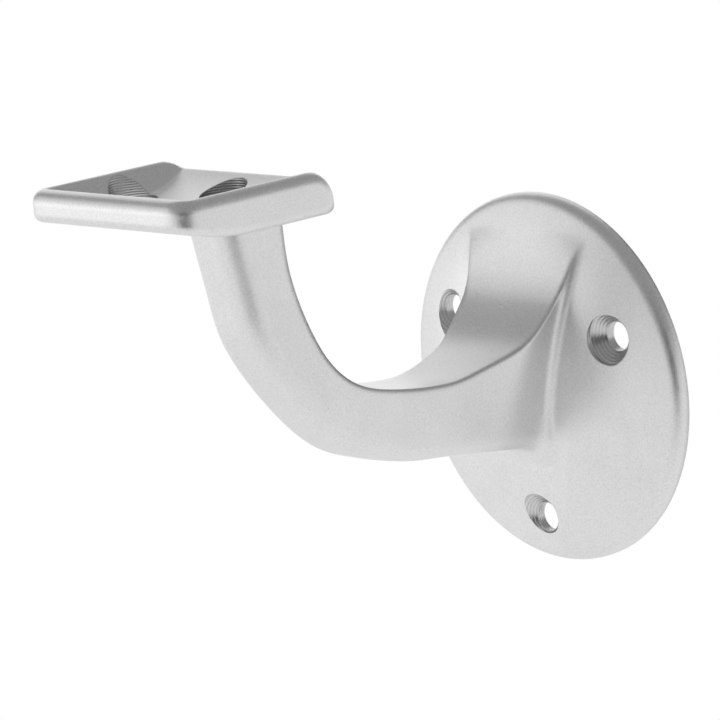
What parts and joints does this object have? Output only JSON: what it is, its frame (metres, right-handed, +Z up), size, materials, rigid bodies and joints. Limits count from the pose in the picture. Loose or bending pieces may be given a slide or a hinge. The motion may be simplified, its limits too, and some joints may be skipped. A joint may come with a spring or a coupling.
{
  "type": "handrail bracket",
  "caption": "Cast wall bracket for a handrail: domed round wall rosette, an arm that flares out of it and turns upwards, and a dished rectangular saddle.",
  "frame": {"origin": "centre of the circle of wall screws, on the wall", "axes": "+Y into the wall, +X along the handrail, +Z up; the arm and the saddle stand out towards -Y"},
  "size_m": [0.07, 0.101, 0.0876],
  "materials": {
    "cast_aluminium": "blasted and matte anodised, silver grey"
  },
  "bodies": {
    "root": {"bracket": "cast_aluminium"}
  },
  "joints": []
}
